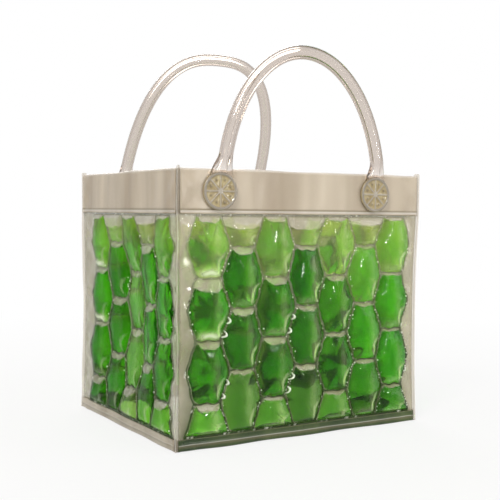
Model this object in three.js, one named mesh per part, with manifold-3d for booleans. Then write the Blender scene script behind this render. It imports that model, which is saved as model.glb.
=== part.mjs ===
// Bottle cooler bag: an open box of clear vinyl film whose walls are quilted into gel-filled hexagonal cells.
// Millimetres, +Z up. X runs along the front, the front faces -Y, and the origin is the centre of the foot.
import * as THREE from 'three';
import { mergeVertices } from 'three/addons/utils/BufferGeometryUtils.js';
import Module from 'manifold-3d';

const wasm = await Module();
wasm.setup();

// Distance under which two points are one, and levels are equal
const sameDistance = 0.001;

// Bag, measured between the weld planes of opposite walls
const bagWidth = 200;
const bagDepth = 165;
const bagHeight = 185;

// Films and the gap that stands for a weld
const film = 0.6;
const weldGap = 0.3;

// Frosted band round the mouth, with a weld strip along its lower edge
const bandHeight = 30;
const bandFilm = 0.6;
const bandWeldHeight = 3;
const bandWeldProud = 0.3;

// Hem round the foot
const hemHeight = 8;
const hemFilm = 0.6;
const hemInnerHeight = 6.9;

// Quilted cells: columns of hexagons with flat tops and pointed sides
const frontColumns = 7;
const sideColumns = 5;
const frontQuiltMargin = 2.45;
const sideQuiltMargin = 6.2;
const sideQuiltShift = 5;
const flatShare = 0.72;
const halfRows = 7;
const cellEdgeMargin = 1;
const frontBulge = 5.5;
const sideBulge = 3.8;
const innerBulge = 1.8;
const halfCellShare = 0.65;
const shoulderInset = 0.45;
const shoulderHeight = 0.78;
const channelRise = 1.4;
const gelEdgeInset = 0.04;

// Crease of the side gussets
const gussetFold = 8;

// Welded corner seams
const seamReach = 2.6;
const seamFin = 2.2;
const seamFinThickness = 1.2;
const seamEar = 2;

// Handles
const tubeRadius = 4.75;
const boreRadius = 2.25;
const tubeSteps = 24;
const tubeSides = 10;
const discInset = 35.7;
const handleGap = 0.8;
const pivotRise = 4.5;
const neckReach = 3.8;
const discMargin = 2.25;
const discThickness = 2.6;
const discRim = 2;
const discFaceDrop = 1.1;
const discSides = 16;
const spokeCount = 8;
const spokeWidth = 0.9;
const spokeHeight = 0.6;
const hubRadius = 2;
const neckHalfWidth = 7.5;
const neckHalfThickness = 1.3;
const neckSections = 5;
const neckSides = 12;
const neckAngleStep = 0.001;

// The two handles are bent differently.
// Each has a rise over the disc centres, a squareness of its arch, a lean and a sideways shift.
const frontHandle = { rise: 95.5, squareness: 2, lean: 0, shift: -6.6 };
const backHandle = { rise: 118, squareness: 2.63, lean: THREE.MathUtils.degToRad(24), shift: -3 };

// Layers through a wall, measured outwards from its weld plane
const filmInside = weldGap / 2;
const filmOutside = filmInside + film;
const leafInside = filmOutside + weldGap;
const bandOutside = leafInside + bandFilm;
const hemOutside = leafInside + hemFilm;
const flangeInside = -leafInside - film;
const hemLeafOutside = flangeInside - weldGap;

// Levels
const filmBottom = hemFilm + weldGap;
const filmTop = bagHeight - bandFilm - weldGap;
const zoneBottom = hemHeight + cellEdgeMargin;
const zoneTop = bagHeight - bandHeight - cellEdgeMargin;
const cellHeight = (2 * (zoneTop - zoneBottom)) / halfRows;
const floorUnderside = hemInnerHeight + weldGap;
const discLevel = bagHeight - bandHeight / 2;
const discRadius = bandHeight / 2 - discMargin;
const discBack = bandOutside + bandWeldProud + weldGap;
const pivotLevel = bagHeight + pivotRise;
const handleHalfSpan = bagWidth / 2 - discInset;
const handleOffset = bandOutside + handleGap + tubeRadius;

const clearVinyl = { color: 0xd8d3c6, roughness: 0.15, metalness: 0 };
const frostedVinyl = { color: 0xc8b6a5, roughness: 0.35, metalness: 0 };
const greenGel = { color: 0x2f9a22, roughness: 0.2, metalness: 0 };
const clearTube = { color: 0xdccfc2, roughness: 0.1, metalness: 0 };

const bag = new THREE.Group();
bag.name = 'cooler_bag';

function addMesh(parent, name, geometry, finish) {
  const mesh = new THREE.Mesh(geometry, new THREE.MeshStandardMaterial(finish));
  mesh.name = name;
  parent.add(mesh);
  return mesh;
}

function toSolid(geometry) {
  const bare = geometry.clone();
  bare.deleteAttribute('normal');
  bare.deleteAttribute('uv');
  const merged = mergeVertices(bare, sameDistance);
  const vertProperties = new Float32Array(merged.attributes.position.array);
  const triVerts = new Uint32Array(merged.index.array);
  return new wasm.Manifold(new wasm.Mesh({ numProp: 3, vertProperties, triVerts }));
}

function toGeometry(solid) {
  const mesh = solid.getMesh();
  const geometry = new THREE.BufferGeometry();
  geometry.setAttribute('position', new THREE.BufferAttribute(mesh.vertProperties, 3));
  geometry.setIndex(new THREE.BufferAttribute(mesh.triVerts, 1));
  geometry.computeVertexNormals();
  return geometry;
}

function fromTriangles(points, triangles) {
  const geometry = new THREE.BufferGeometry().setFromPoints(points);
  geometry.setIndex(triangles.flat());
  geometry.computeVertexNormals();
  return geometry;
}

// A box between two corners
function block(low, high) {
  const size = new THREE.Vector3().subVectors(high, low);
  const geometry = new THREE.BoxGeometry(size.x, size.y, size.z);
  return geometry.translate((low.x + high.x) / 2, (low.y + high.y) / 2, (low.z + high.z) / 2);
}

// A wall in its own frame: u runs to the right seen from outside, n outwards from the weld plane, z upwards
// The cells of a side wall sit nearer the front, by the wall's shift.
// A cell's flats are a share of the column pitch. Its points stop half a flat short of the next column.
function makeWall(name, { length, offset, fold, columns, quiltMargin, bulge }, shift) {
  const reach = length / 2 - seamReach - weldGap;
  const pitch = (reach - quiltMargin) / ((columns + 1 - flatShare) / 2);
  const flatHalf = (pitch * flatShare) / 2;
  const pointHalf = pitch - flatHalf;
  const inward = (u, z) => {
    const level = THREE.MathUtils.clamp((z - zoneBottom) / (zoneTop - zoneBottom), 0, 1);
    return fold * (1 - Math.abs(u) / reach) * Math.sin(Math.PI * level);
  };
  const place = ({ u, n, z }) => new THREE.Vector3(u, -(offset + n - inward(u, z)), z);
  return { name, length, offset, reach, columns, pitch, flatHalf, pointHalf, bulge, shift, place };
}

// The cells of one column from the top down. Every other column starts with a half cell.
function columnCells(wall, column) {
  const centre = (column - (wall.columns - 1) / 2) * wall.pitch + wall.shift;
  const startsHalf = column % 2 === 1;
  const cells = [];
  let top = zoneTop;
  while (top > zoneBottom + sameDistance) {
    const half = (startsHalf && top === zoneTop) || top - cellHeight < zoneBottom - sameDistance;
    const bottom = top - (half ? cellHeight / 2 : cellHeight);
    const cut = { top: half && top === zoneTop, bottom: half && top !== zoneTop };
    cells.push(cellOutline(wall, centre, top, bottom, cut));
    top = bottom;
  }
  return cells;
}

// Corner points anticlockwise from the lower left, with a point at the middle of the lower and the upper edge
function cellOutline(wall, centre, top, bottom, cut) {
  const lowerHalf = cut.bottom ? wall.pointHalf : wall.flatHalf;
  const upperHalf = cut.top ? wall.pointHalf : wall.flatHalf;
  const lowerRise = bottom > zoneBottom + sameDistance ? channelRise : 0;
  const upperRise = top < zoneTop - sameDistance ? channelRise : 0;
  const middle = (top + bottom) / 2;
  const whole = !cut.top && !cut.bottom;
  const ring = [
    { u: centre - lowerHalf, z: bottom, rise: 0 },
    { u: centre, z: bottom, rise: lowerRise, mouth: lowerRise > 0 },
    { u: centre + lowerHalf, z: bottom, rise: 0 },
    ...(whole ? [{ u: centre + wall.pointHalf, z: middle, rise: 0 }] : []),
    { u: centre + upperHalf, z: top, rise: 0 },
    { u: centre, z: top, rise: upperRise, mouth: upperRise > 0 },
    { u: centre - upperHalf, z: top, rise: 0 },
    ...(whole ? [{ u: centre - wall.pointHalf, z: middle, rise: 0 }] : []),
  ];
  const share = whole ? 1 : halfCellShare;
  const bulge = { outer: wall.bulge * share, inner: innerBulge * share };
  return { ring, centre: { u: centre, z: middle }, bulge };
}

// A point of a cell, moved from its outline towards its centre by a share of the way
function inset(point, centre, share) {
  return {
    u: THREE.MathUtils.lerp(point.u, centre.u, share),
    z: THREE.MathUtils.lerp(point.z, centre.z, share),
  };
}

// Height of the outer film's inner face over a cell: straight up to the shoulder, then straight to the crown
function domeHeight(point, share, bulge) {
  const shoulder = bulge * shoulderHeight;
  if (share <= shoulderInset) return THREE.MathUtils.lerp(point.rise, shoulder, share / shoulderInset);
  return THREE.MathUtils.lerp(shoulder, bulge, (share - shoulderInset) / (1 - shoulderInset));
}

// Collects the points and triangles of a sheet, and shares points that have the same place on the wall
class Sheet {
  constructor() {
    this.points = [];
    this.triangles = [];
    this.known = new Map();
  }

  point(u, z, n) {
    const key = u.toFixed(3) + ' ' + z.toFixed(3);
    if (!this.known.has(key)) {
      this.known.set(key, this.points.length);
      this.points.push({ u, z, n });
    }
    return this.known.get(key);
  }

  // Joins two rings with as many points each
  band(outer, inner) {
    outer.forEach((a, i) => {
      const next = (i + 1) % outer.length;
      this.triangles.push([a, outer[next], inner[next]], [a, inner[next], inner[i]]);
    });
  }

  // Joins a ring with its middle point
  fan(ring, middle) {
    ring.forEach((a, i) => this.triangles.push([a, ring[(i + 1) % ring.length], middle]));
  }

  // Gives the sheet its thickness outwards and closes its edges
  thicken(wall, thickness) {
    const count = this.points.length;
    const inside = this.points.map((p) => wall.place(p));
    const outside = this.points.map((p) => wall.place({ ...p, n: p.n + thickness }));
    const edges = new Set();
    this.triangles.forEach(([a, b, c]) => edges.add(a + ' ' + b).add(b + ' ' + c).add(c + ' ' + a));
    const faces = [];
    this.triangles.forEach(([a, b, c]) => {
      faces.push([a + count, b + count, c + count], [a, c, b]);
      [[a, b], [b, c], [c, a]].forEach(([from, to]) => {
        if (edges.has(to + ' ' + from)) return;
        faces.push([to + count, from + count, from], [to + count, from, to]);
      });
    });
    return fromTriangles([...inside, ...outside], faces);
  }
}

// Points of an outline without the repeats where neighbouring cells meet
function distinct(points) {
  const step = (p, q) => Math.hypot(p.u - q.u, p.z - q.z);
  return points.filter((p, i) => i === 0 || step(p, points[i - 1]) > sameDistance);
}

// The flat land round the quilted zone: up into the band, down into the hem and out to the corner seams
function addLand(sheet, wall, cellColumns, level) {
  const edgeOf = (cell, z) => cell.ring.filter((p) => p.z === z).sort((a, b) => a.u - b.u);
  const sideOf = (cell, sign) => {
    const half = cell.ring.filter((p) => (p.u - cell.centre.u) * sign > 0);
    return half.sort((a, b) => b.z - a.z);
  };
  const bottomEdge = distinct(cellColumns.flatMap((cells) => {
    const lowest = cells[cells.length - 1];
    return edgeOf(lowest, lowest.ring[0].z);
  }));
  const topEdge = distinct(cellColumns.flatMap((cells) => edgeOf(cells[0], zoneTop)));
  const leftEdge = distinct(cellColumns[0].flatMap((cell) => sideOf(cell, -1)));
  const rightEdge = distinct(cellColumns[wall.columns - 1].flatMap((cell) => sideOf(cell, 1)));
  const left = (z) => ({ u: -wall.reach, z });
  const right = (z) => ({ u: wall.reach, z });
  const foot = bottomEdge[0].z;
  const outlines = [
    [left(filmBottom), right(filmBottom), right(foot), ...bottomEdge.reverse(), left(foot)],
    [left(zoneTop), ...topEdge, right(zoneTop), right(filmTop), left(filmTop)],
    [left(zoneTop), left(foot), ...leftEdge.reverse()],
    [right(foot), right(zoneTop), ...rightEdge],
  ];
  outlines.forEach((outline) => {
    const indices = outline.map((p) => sheet.point(p.u, p.z, level));
    const flat = outline.map((p) => new THREE.Vector2(p.u, p.z));
    const faces = THREE.ShapeUtils.triangulateShape(flat, []);
    faces.forEach((face) => sheet.triangles.push(face.map((i) => indices[i])));
  });
}

function outerFilm(wall, cellColumns) {
  const sheet = new Sheet();
  cellColumns.flat().forEach(({ ring, centre, bulge }) => {
    const rim = ring.map((p) => sheet.point(p.u, p.z, filmInside + p.rise));
    const shoulder = ring.map((p) => {
      const q = inset(p, centre, shoulderInset);
      return sheet.point(q.u, q.z, filmInside + domeHeight(p, shoulderInset, bulge.outer));
    });
    sheet.band(rim, shoulder);
    sheet.fan(shoulder, sheet.point(centre.u, centre.z, filmInside + bulge.outer));
  });
  addLand(sheet, wall, cellColumns, filmInside);
  return sheet.thicken(wall, film);
}

function innerFilm(wall, cellColumns) {
  const sheet = new Sheet();
  cellColumns.flat().forEach(({ ring, centre, bulge }) => {
    const rim = ring.map((p) => sheet.point(p.u, p.z, -filmOutside));
    sheet.fan(rim, sheet.point(centre.u, centre.z, -filmOutside - bulge.inner));
  });
  addLand(sheet, wall, cellColumns, -filmOutside);
  return sheet.thicken(wall, film);
}

// The gel of one column: a lens in each cell, joined to the next by a fill channel through their shared edge
function gelColumn(wall, cells) {
  const points = [];
  const triangles = [];
  const add = (u, z, n) => points.push(wall.place({ u, z, n })) - 1;
  let mouthAbove = null;
  cells.forEach(({ ring, centre, bulge }) => {
    const front = [];
    const back = [];
    const shoulder = [];
    ring.forEach((p) => {
      const edge = inset(p, centre, gelEdgeInset);
      const high = inset(p, centre, shoulderInset);
      const low = filmInside - bulge.inner * gelEdgeInset;
      const lift = domeHeight(p, gelEdgeInset, bulge.outer) - filmInside;
      back.push(add(edge.u, edge.z, low));
      front.push(p.mouth ? add(edge.u, edge.z, lift) : back[back.length - 1]);
      shoulder.push(add(high.u, high.z, domeHeight(p, shoulderInset, bulge.outer) - filmInside));
    });
    const crown = add(centre.u, centre.z, bulge.outer - filmInside);
    const pit = add(centre.u, centre.z, filmInside - bulge.inner);
    ring.forEach((p, i) => {
      const next = (i + 1) % ring.length;
      triangles.push([front[i], front[next], shoulder[next]], [front[i], shoulder[next], shoulder[i]]);
      triangles.push([shoulder[i], shoulder[next], crown], [back[next], back[i], pit]);
    });
    // The loop round the mouth at a middle point, from the left over the back to the right and the front
    const mouthAt = (i, left, right) => [back[left], back[i], back[right], front[i]];
    const upper = ring.findLastIndex((p) => p.mouth);
    if (mouthAbove) joinMouths(triangles, mouthAbove, mouthAt(upper, upper + 1, upper - 1));
    mouthAbove = ring[1].mouth ? mouthAt(1, 0, 2) : null;
  });
  return fromTriangles(points, triangles);
}

// The four walls of a fill channel between two mouths
function joinMouths(triangles, above, below) {
  above.forEach((a, i) => {
    const next = (i + 1) % above.length;
    triangles.push([a, above[next], below[next]], [a, below[next], below[i]]);
  });
}

// A strip of constant section along a wall. The section is drawn outwards and upwards.
function strip(wall, section) {
  const shape = new THREE.Shape(section.map(([n, z]) => new THREE.Vector2(-(wall.offset + n), z)));
  const geometry = new THREE.ExtrudeGeometry(shape, { depth: 2 * wall.reach, bevelEnabled: false, steps: 1 });
  const basis = new THREE.Matrix4().makeBasis(
    new THREE.Vector3(0, 1, 0),
    new THREE.Vector3(0, 0, 1),
    new THREE.Vector3(1, 0, 0),
  );
  return geometry.applyMatrix4(basis).translate(-wall.reach, 0, 0);
}

// The band is one film folded over the upper edges of both wall films
function topBand(wall) {
  const foot = bagHeight - bandHeight;
  const stripTop = foot + bandWeldHeight;
  return strip(wall, [
    [leafInside, foot],
    [bandOutside + bandWeldProud, foot],
    [bandOutside + bandWeldProud, stripTop],
    [bandOutside, stripTop],
    [bandOutside, bagHeight],
    [-bandOutside, bagHeight],
    [-bandOutside, foot],
    [-leafInside, foot],
    [-leafInside, bagHeight - bandFilm],
    [leafInside, bagHeight - bandFilm],
  ]);
}

// The hem is folded round the lower edges of both wall films and the flange of the bottom panel
function baseHem(wall) {
  const inner = hemLeafOutside - hemFilm;
  return strip(wall, [
    [hemOutside, 0],
    [hemOutside, hemHeight],
    [leafInside, hemHeight],
    [leafInside, hemFilm],
    [hemLeafOutside, hemFilm],
    [hemLeafOutside, hemInnerHeight],
    [inner, hemInnerHeight],
    [inner, 0],
  ]);
}

// The seam at the left end of a wall: a welded bead with a fin that points out of the corner
function cornerSeam(wall) {
  const out = bandOutside;
  const fin = seamFin / Math.SQRT2;
  const edge = seamFinThickness / Math.SQRT2;
  const shape = new THREE.Shape([
    new THREE.Vector2(seamReach, seamReach),
    new THREE.Vector2(-out, seamReach),
    new THREE.Vector2(-out, -out + edge),
    new THREE.Vector2(-out - fin, -out - fin + edge),
    new THREE.Vector2(-out - fin + edge, -out - fin),
    new THREE.Vector2(-out + edge, -out),
    new THREE.Vector2(seamReach, -out),
  ]);
  const height = bagHeight + seamEar;
  const geometry = new THREE.ExtrudeGeometry(shape, { depth: height, bevelEnabled: false, steps: 1 });
  return geometry.translate(-wall.length / 2, -wall.offset, 0);
}

// The bottom panel: a flat sheet notched at the corner seams, with a flange turned down inside each wall
function bottomPanel(walls) {
  const sideX = bagWidth / 2 - leafInside;
  const sideY = bagDepth / 2 - leafInside;
  const notchX = bagWidth / 2 - seamReach - weldGap;
  const notchY = bagDepth / 2 - seamReach - weldGap;
  const floorTop = floorUnderside + film;
  const across = block(
    new THREE.Vector3(-notchX, -sideY, floorUnderside),
    new THREE.Vector3(notchX, sideY, floorTop),
  );
  const along = block(
    new THREE.Vector3(-sideX, -notchY, floorUnderside),
    new THREE.Vector3(sideX, notchY, floorTop),
  );
  let solid = toSolid(across).add(toSolid(along));
  walls.forEach((wall, turn) => {
    const flange = block(
      new THREE.Vector3(-wall.reach, -(wall.offset - leafInside), filmBottom),
      new THREE.Vector3(wall.reach, -(wall.offset + flangeInside), floorTop),
    );
    solid = solid.add(toSolid(flange.rotateZ((turn * Math.PI) / 2)));
  });
  return toGeometry(solid);
}

// Centreline of a handle in the plane of its arch, from one weld disc over to the other
class ArchCurve extends THREE.Curve {
  constructor(handle, start) {
    super();
    this.handle = handle;
    this.start = start;
  }

  getPoint(share, target = new THREE.Vector3()) {
    const angle = THREE.MathUtils.lerp(Math.PI - this.start, this.start, share);
    const { x, z } = archPoint(this.handle, angle);
    return target.set(x, 0, z);
  }
}

function archPoint(handle, angle) {
  const power = 2 / handle.squareness;
  const x = Math.sign(Math.cos(angle)) * handleHalfSpan * Math.abs(Math.cos(angle)) ** power;
  const z = discLevel + handle.rise * Math.abs(Math.sin(angle)) ** power;
  return { x, z };
}

// The angle at which the arch passes a level
function archAngle(handle, level) {
  return Math.asin(((level - discLevel) / handle.rise) ** (handle.squareness / 2));
}

// The hollow tube from one neck over to the other
function handleTube(handle) {
  const ring = new THREE.Shape().absarc(0, 0, tubeRadius, 0, 2 * Math.PI);
  ring.holes.push(new THREE.Path().absarc(0, 0, boreRadius, 0, 2 * Math.PI));
  const start = archAngle(handle, pivotLevel + neckReach);
  const geometry = new THREE.ExtrudeGeometry(ring, {
    steps: tubeSteps,
    curveSegments: tubeSides / 2,
    bevelEnabled: false,
    extrudePath: new ArchCurve(handle, start),
  });
  return geometry.translate(0, 0, -pivotLevel);
}

// The flattened end of the tube, which bends: flat on the weld disc, round where the tube begins
function handleNeck(handle, side) {
  const footLevel = discLevel + discRadius / 2;
  const headLevel = pivotLevel + neckReach - weldGap;
  const points = [];
  const triangles = [];
  for (let i = 0; i < neckSections; i += 1) {
    const share = i / (neckSections - 1);
    const angle = archAngle(handle, THREE.MathUtils.lerp(footLevel, headLevel, share));
    const here = archPoint(handle, angle);
    const ahead = archPoint(handle, angle + neckAngleStep);
    const along = new THREE.Vector3(side * (ahead.x - here.x), 0, ahead.z - here.z).normalize();
    const ease = THREE.MathUtils.smoothstep(share, 0, 1);
    const halfWidth = THREE.MathUtils.lerp(neckHalfWidth, tubeRadius, ease);
    const halfThickness = THREE.MathUtils.lerp(neckHalfThickness, tubeRadius, ease);
    const out = THREE.MathUtils.lerp(discBack + neckHalfThickness, handleOffset, ease) - handleOffset;
    const middle = new THREE.Vector3(side * here.x, -out, here.z - pivotLevel);
    for (let k = 0; k < neckSides; k += 1) {
      const turn = (2 * Math.PI * k) / neckSides;
      const across = halfWidth * Math.cos(turn);
      const depth = halfThickness * Math.sin(turn);
      const p = new THREE.Vector3(middle.x + along.z * across, middle.y + depth, middle.z - along.x * across);
      p.applyAxisAngle(new THREE.Vector3(1, 0, 0), -handle.lean * ease);
      points.push(p);
    }
  }
  const head = (neckSections - 1) * neckSides;
  for (let k = 0; k < neckSides; k += 1) {
    const next = (k + 1) % neckSides;
    for (let row = 0; row < head; row += neckSides) {
      const [a, b] = [row + k, row + next];
      triangles.push([a, b, b + neckSides], [a, b + neckSides, a + neckSides]);
    }
    if (k > 0 && k < neckSides - 1) {
      triangles.push([0, next, k], [head, head + k, head + next]);
    }
  }
  const seat = new THREE.CylinderGeometry(discRadius + weldGap, discRadius + weldGap, bagDepth, discSides);
  seat.translate(side * handleHalfSpan, 0, discLevel - pivotLevel);
  return toGeometry(toSolid(fromTriangles(points, triangles)).subtract(toSolid(seat)));
}

// The embossed weld disc: a raised rim, a lower face with a hub, and spokes across the face
function weldDisc() {
  const face = discThickness - discFaceDrop;
  const raised = face + spokeHeight;
  const profile = [
    [0, 0],
    [discRadius, 0],
    [discRadius, discThickness],
    [discRadius - discRim, discThickness],
    [discRadius - discRim, face],
    [hubRadius, face],
    [hubRadius, raised],
    [0, raised],
  ].map(([r, y]) => new THREE.Vector2(r, y));
  let solid = toSolid(new THREE.LatheGeometry(profile, discSides));
  for (let i = 0; i < spokeCount; i += 1) {
    const spoke = block(
      new THREE.Vector3(0, face / 2, -spokeWidth / 2),
      new THREE.Vector3(discRadius - discRim / 2, raised, spokeWidth / 2),
    );
    solid = solid.add(toSolid(spoke.rotateY((2 * Math.PI * i) / spokeCount)));
  }
  return toGeometry(solid).rotateZ(Math.PI);
}

function addHandle(parent, wall, handle) {
  const pivot = new THREE.Group();
  pivot.position.set(handle.shift, -(wall.offset + handleOffset), pivotLevel);
  parent.add(pivot);
  const tube = addMesh(pivot, wall.name + '_handle_tube', handleTube(handle), clearTube);
  tube.rotation.x = -handle.lean;
  [['left', -1], ['right', 1]].forEach(([sideName, side]) => {
    addMesh(pivot, `${wall.name}_${sideName}_handle_neck`, handleNeck(handle, side), clearTube);
    const disc = addMesh(parent, `${wall.name}_${sideName}_weld_disc`, weldDisc(), clearTube);
    disc.position.set(handle.shift + side * handleHalfSpan, -(wall.offset + discBack), discLevel);
  });
}

const wide = {
  length: bagWidth,
  offset: bagDepth / 2,
  fold: 0,
  columns: frontColumns,
  quiltMargin: frontQuiltMargin,
  bulge: frontBulge,
};
const gusset = {
  length: bagDepth,
  offset: bagWidth / 2,
  fold: gussetFold,
  columns: sideColumns,
  quiltMargin: sideQuiltMargin,
  bulge: sideBulge,
};
const walls = [
  makeWall('front', wide, 0),
  makeWall('right', gusset, -sideQuiltShift),
  makeWall('back', wide, 0),
  makeWall('left', gusset, sideQuiltShift),
];
const seamNames = ['front_left', 'front_right', 'back_right', 'back_left'];

walls.forEach((wall, turn) => {
  const side = new THREE.Group();
  side.rotation.z = (turn * Math.PI) / 2;
  bag.add(side);
  const cellColumns = Array.from({ length: wall.columns }, (_, column) => columnCells(wall, column));
  addMesh(side, wall.name + '_outer_film', outerFilm(wall, cellColumns), clearVinyl);
  addMesh(side, wall.name + '_inner_film', innerFilm(wall, cellColumns), clearVinyl);
  cellColumns.forEach((cells, column) => {
    addMesh(side, `${wall.name}_gel_column_${column + 1}`, gelColumn(wall, cells), greenGel);
  });
  addMesh(side, wall.name + '_top_band', topBand(wall), frostedVinyl);
  addMesh(side, wall.name + '_base_hem', baseHem(wall), frostedVinyl);
  addMesh(side, seamNames[turn] + '_corner_seam', cornerSeam(wall), frostedVinyl);
  if (wall.name === 'front') addHandle(side, wall, frontHandle);
  if (wall.name === 'back') addHandle(side, wall, backHandle);
});
addMesh(bag, 'bottom_panel', bottomPanel(walls), clearVinyl);

export default bag;
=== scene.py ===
import math

import bmesh
import bpy
import numpy as np
from mathutils import Matrix, Vector


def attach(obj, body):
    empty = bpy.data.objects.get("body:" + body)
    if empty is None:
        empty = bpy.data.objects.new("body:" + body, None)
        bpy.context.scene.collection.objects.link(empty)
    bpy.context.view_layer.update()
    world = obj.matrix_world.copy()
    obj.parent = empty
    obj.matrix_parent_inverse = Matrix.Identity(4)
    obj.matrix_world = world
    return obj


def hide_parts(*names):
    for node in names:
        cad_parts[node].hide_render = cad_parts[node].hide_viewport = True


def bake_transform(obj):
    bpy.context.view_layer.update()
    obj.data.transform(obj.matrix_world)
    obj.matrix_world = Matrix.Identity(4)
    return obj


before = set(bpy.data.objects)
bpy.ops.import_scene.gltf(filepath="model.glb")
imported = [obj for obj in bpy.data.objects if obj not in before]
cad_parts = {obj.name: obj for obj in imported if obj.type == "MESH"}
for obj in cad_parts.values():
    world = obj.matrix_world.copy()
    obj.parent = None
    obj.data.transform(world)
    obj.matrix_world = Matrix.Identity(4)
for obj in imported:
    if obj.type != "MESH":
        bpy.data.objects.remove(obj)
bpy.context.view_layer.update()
scene = bpy.context.scene

MM = 0.001
TAU = 2 * math.pi
PHASES = (0, 6.28)
NEAR = 0.001

# Bag, measured between the weld planes of opposite walls
BAG_WIDTH, BAG_DEPTH, BAG_HEIGHT = 200.0, 165.0, 185.0
FILM, WELD_GAP = 0.6, 0.3
BAND_HEIGHT, BAND_FILM = 30.0, 0.6
HEM_HEIGHT, HEM_FILM, HEM_INNER_HEIGHT = 8.0, 0.6, 6.9
CELL_EDGE_MARGIN = 1.0
HALF_ROWS = 7
FLAT_SHARE = 0.72
SEAM_REACH, CORNER_GAP = 2.6, 0.9
GUSSET_FOLD = 8.0
FRONT_BULGE, SIDE_BULGE, INNER_BULGE = 5.5, 3.8, 1.8
FLAT_WELD_HALF, SLANT_WELD_HALF = 0.4, 0.28
FILM_SEEN, SHEET_SEEN = 0.4, 0.5

FILM_INSIDE = WELD_GAP / 2
FILM_OUTSIDE = FILM_INSIDE + FILM
LEAF_INSIDE = FILM_OUTSIDE + WELD_GAP
BAND_OUTSIDE = LEAF_INSIDE + BAND_FILM
FLANGE_INSIDE = -LEAF_INSIDE - FILM
FILM_BOTTOM = HEM_FILM + WELD_GAP
FILM_TOP = BAG_HEIGHT - BAND_FILM - WELD_GAP
ZONE_BOTTOM = HEM_HEIGHT + CELL_EDGE_MARGIN
ZONE_TOP = BAG_HEIGHT - BAND_HEIGHT - CELL_EDGE_MARGIN
CELL_HEIGHT = 2 * (ZONE_TOP - ZONE_BOTTOM) / HALF_ROWS


def smoothstep(low, high, value):
    """0 at low and 1 at high. High may be the smaller one."""
    t = np.clip((value - low) / (high - low), 0, 1)
    return t * t * (3 - 2 * t)


def low_down(z):
    """1 at the foot of the quilted zone and 0 at its top."""
    return np.clip((ZONE_TOP - z) / (ZONE_TOP - ZONE_BOTTOM), 0, 1)


def wave(x, length, phase):
    return np.sin(TAU * x / length + phase)


def peak(x, width, power=2):
    """1 where x is 0, fading over the width."""
    return np.exp(-((x / width) ** power))


def ripple(waves, u, z):
    """Sum of waves: radians per millimetre along u and z, phase and height."""
    return sum(a * np.sin(fu * u + fz * z + p) for fu, fz, p, a in waves)


class Wall:
    """A wall: u runs right seen from outside, n out of the weld plane, z up."""

    def __init__(self, name, turn, length, offset, fold, columns, margin, bulge, shift, bow):
        self.name, self.offset, self.fold = name, offset, fold
        self.columns, self.bulge, self.shift, self.bow = columns, bulge, shift, bow
        self.angle = turn * math.pi / 2
        self.reach = length / 2 - SEAM_REACH - WELD_GAP
        self.edge = length / 2 - CORNER_GAP
        self.pitch = (self.reach - margin) / ((columns + 1 - FLAT_SHARE) / 2)
        self.flat_half = self.pitch * FLAT_SHARE / 2
        self.point_half = self.pitch - self.flat_half
        self.rng = np.random.default_rng(100 + turn)
        self.waves = self.random_waves((0.03, 0.12), (-0.06, 0.06), (0.45, 0.3, 0.2, 0.15))
        small = ((-0.7, 0.7), (-0.7, 0.7), (0.3, 0.25, 0.2))
        self.crinkle, self.gather = self.random_waves(*small), self.random_waves(*small)

    def random_waves(self, along, up, heights):
        draw = self.rng.uniform
        return [(draw(*along), draw(*up), draw(*PHASES), height) for height in heights]

    def drift(self, u, z):
        """Swell, ripples and wrinkles of the wall, outwards, less the gusset's crease."""
        waist = np.sin(math.pi * np.clip((z - ZONE_BOTTOM) / (ZONE_TOP - ZONE_BOTTOM), 0, 1))
        swell = self.bow * np.clip(1 - (u / self.reach) ** 2, 0, 1) * waist
        crease = self.fold * np.clip(1 - np.abs(u) / self.reach, 0, 1) * waist
        calm = smoothstep(0, 12, self.reach - np.abs(u))
        off = self.edge - np.abs(u)
        margin = smoothstep(0, 4, off) * smoothstep(18, 9, off)
        wrinkle = 0.35 * np.sin(z / 2.3 + 0.35 * u + self.waves[0][2])
        wrinkle = wrinkle + 0.5 * np.sin(z / 4.1 - 0.2 * u + self.waves[1][2])
        return swell + ripple(self.waves, u, z) * calm + 0.8 * margin * wrinkle - crease

    def place(self, u, n, z):
        """Points of the wall in the shared frame."""
        u, n, z = np.broadcast_arrays(u, n, z)
        calm = smoothstep(0, 10, self.reach - np.abs(u))
        calm = calm * smoothstep(0, 9, np.minimum(z - ZONE_BOTTOM, ZONE_TOP - z))
        x = u + calm * ripple(self.crinkle, u, z)
        y = -(self.offset + n + self.drift(u, z))
        return self.turned(x, y, z + calm * ripple(self.gather, u, z))

    def turned(self, x, y, z):
        """Points at the front, turned round the bag to this wall."""
        c, s = math.cos(self.angle), math.sin(self.angle)
        return np.stack([c * x - s * y, s * x + c * y, z], axis=-1)


WIDE = dict(
    length=BAG_WIDTH, offset=BAG_DEPTH / 2, fold=0.0, columns=7, margin=2.45,
    bulge=FRONT_BULGE, bow=1.2, shift=0.0,
)
GUSSET = dict(
    length=BAG_DEPTH, offset=BAG_WIDTH / 2, fold=GUSSET_FOLD, columns=5, margin=6.2,
    bulge=SIDE_BULGE, bow=0.0,
)
WALLS = [
    Wall("front", 0, **WIDE),
    Wall("right", 1, shift=-5.0, **GUSSET),
    Wall("back", 2, **WIDE),
    Wall("left", 3, shift=5.0, **GUSSET),
]


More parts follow.
